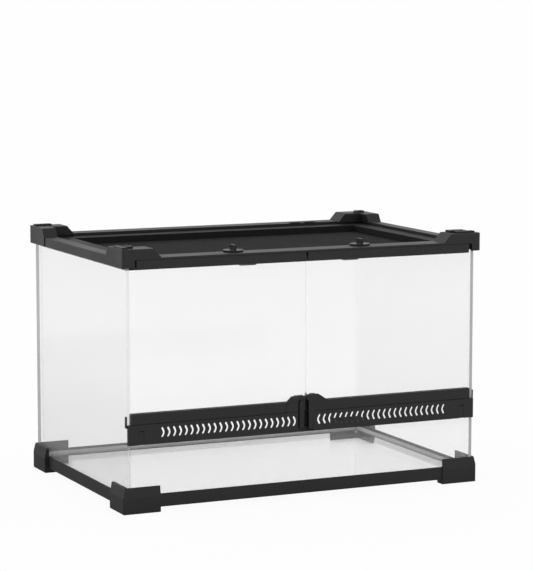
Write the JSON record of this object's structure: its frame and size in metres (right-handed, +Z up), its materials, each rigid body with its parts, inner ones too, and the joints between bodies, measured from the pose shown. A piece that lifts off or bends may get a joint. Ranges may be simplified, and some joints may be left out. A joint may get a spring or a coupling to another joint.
{
  "type": "reptile terrarium",
  "caption": "Front-opening glass terrarium with hinged doors over a slotted vent strip, black base feet and top frame with stacking corners, and a lift-off screen lid.",
  "frame": {"origin": "middle of the footprint, on the surface the feet stand on", "axes": "+X to the right seen from the front, +Y from the doors to the back, +Z up"},
  "size_m": [0.4625, 0.312, 0.3071],
  "materials": {
    "plastic": "fine satin grain, black",
    "fittings": "satin, black",
    "glass": "clear float glass, polished edges",
    "silicone": "clear sealant",
    "steel": "plain drawn steel",
    "mesh": "black coated woven wire"
  },
  "bodies": {
    "tank": {"foot_front_left": "plastic", "foot_front_right": "plastic", "foot_back_left": "plastic", "foot_back_right": "plastic", "base_rail_front": "plastic", "base_rail_back": "plastic", "base_rail_left": "plastic", "base_rail_right": "plastic", "floor_glass": "glass", "left_glass": "glass", "right_glass": "glass", "back_glass": "glass", "front_lower_glass": "glass", "silicone_seals": "silicone", "vent_strip": "plastic", "vent_bracket_left": "plastic", "vent_bracket_right": "plastic", "hinge_clip_left": "plastic", "hinge_clip_right": "plastic", "top_rail_front": "plastic", "top_rail_back": "plastic", "top_rail_left": "plastic", "top_rail_right": "plastic", "top_corner_front_left": "plastic", "top_corner_front_right": "plastic", "top_corner_back_left": "plastic", "top_corner_back_right": "plastic", "door_catches": "fittings"},
    "left_door": {"left_door_glass": "glass", "left_door_top_rail": "plastic", "left_door_bottom_rail": "plastic", "left_door_pull": "fittings", "left_hinge_pins": "steel", "left_strike": "steel"},
    "right_door": {"right_door_glass": "glass", "right_door_top_rail": "plastic", "right_door_bottom_rail": "plastic", "right_hinge_pins": "steel", "right_strike": "steel"},
    "bolt": {"door_bolt": "steel"},
    "lid": {"lid_frame": "plastic", "lid_mesh": "mesh", "lid_mesh_retainers": "plastic"},
    "lock_left": {"lid_lock_left": "fittings"},
    "lock_right": {"lid_lock_right": "fittings"},
    "gate_inner": {"cable_gate_inner": "fittings"},
    "gate_outer": {"cable_gate_outer": "fittings"}
  },
  "joints": [
    {"name": "left_door_hinge", "type": "hinge", "parent": "tank", "child": "left_door", "pos_m": [-0.208, -0.151, 0.19], "axis": [0, 0, -1], "range_deg": [0, 105]},
    {"name": "right_door_hinge", "type": "hinge", "parent": "tank", "child": "right_door", "pos_m": [0.208, -0.151, 0.19], "axis": [0, 0, 1], "range_deg": [0, 105]},
    {"name": "bolt_slide", "type": "slide", "parent": "right_door", "child": "bolt", "axis": [0, 0, -1], "range_m": [0, 0.0035]},
    {"name": "lid_lift", "type": "slide", "parent": "tank", "child": "lid", "axis": [0, 0, 1], "range_m": [0, 0.12]},
    {"name": "lock_left_turn", "type": "hinge", "parent": "lid", "child": "lock_left", "pos_m": [-0.0847, -0.1352, 0.294], "axis": [0, 0, 1], "range_deg": [0, 90]},
    {"name": "lock_right_turn", "type": "hinge", "parent": "lid", "child": "lock_right", "pos_m": [0.0793, -0.1352, 0.294], "axis": [0, 0, 1], "range_deg": [0, 90]},
    {"name": "gate_inner_slide", "type": "slide", "parent": "tank", "child": "gate_inner", "axis": [1, 0, 0], "range_m": [0, 0.0051]},
    {"name": "gate_outer_slide", "type": "slide", "parent": "tank", "child": "gate_outer", "axis": [1, 0, 0], "range_m": [0, 0.0051]}
  ]
}
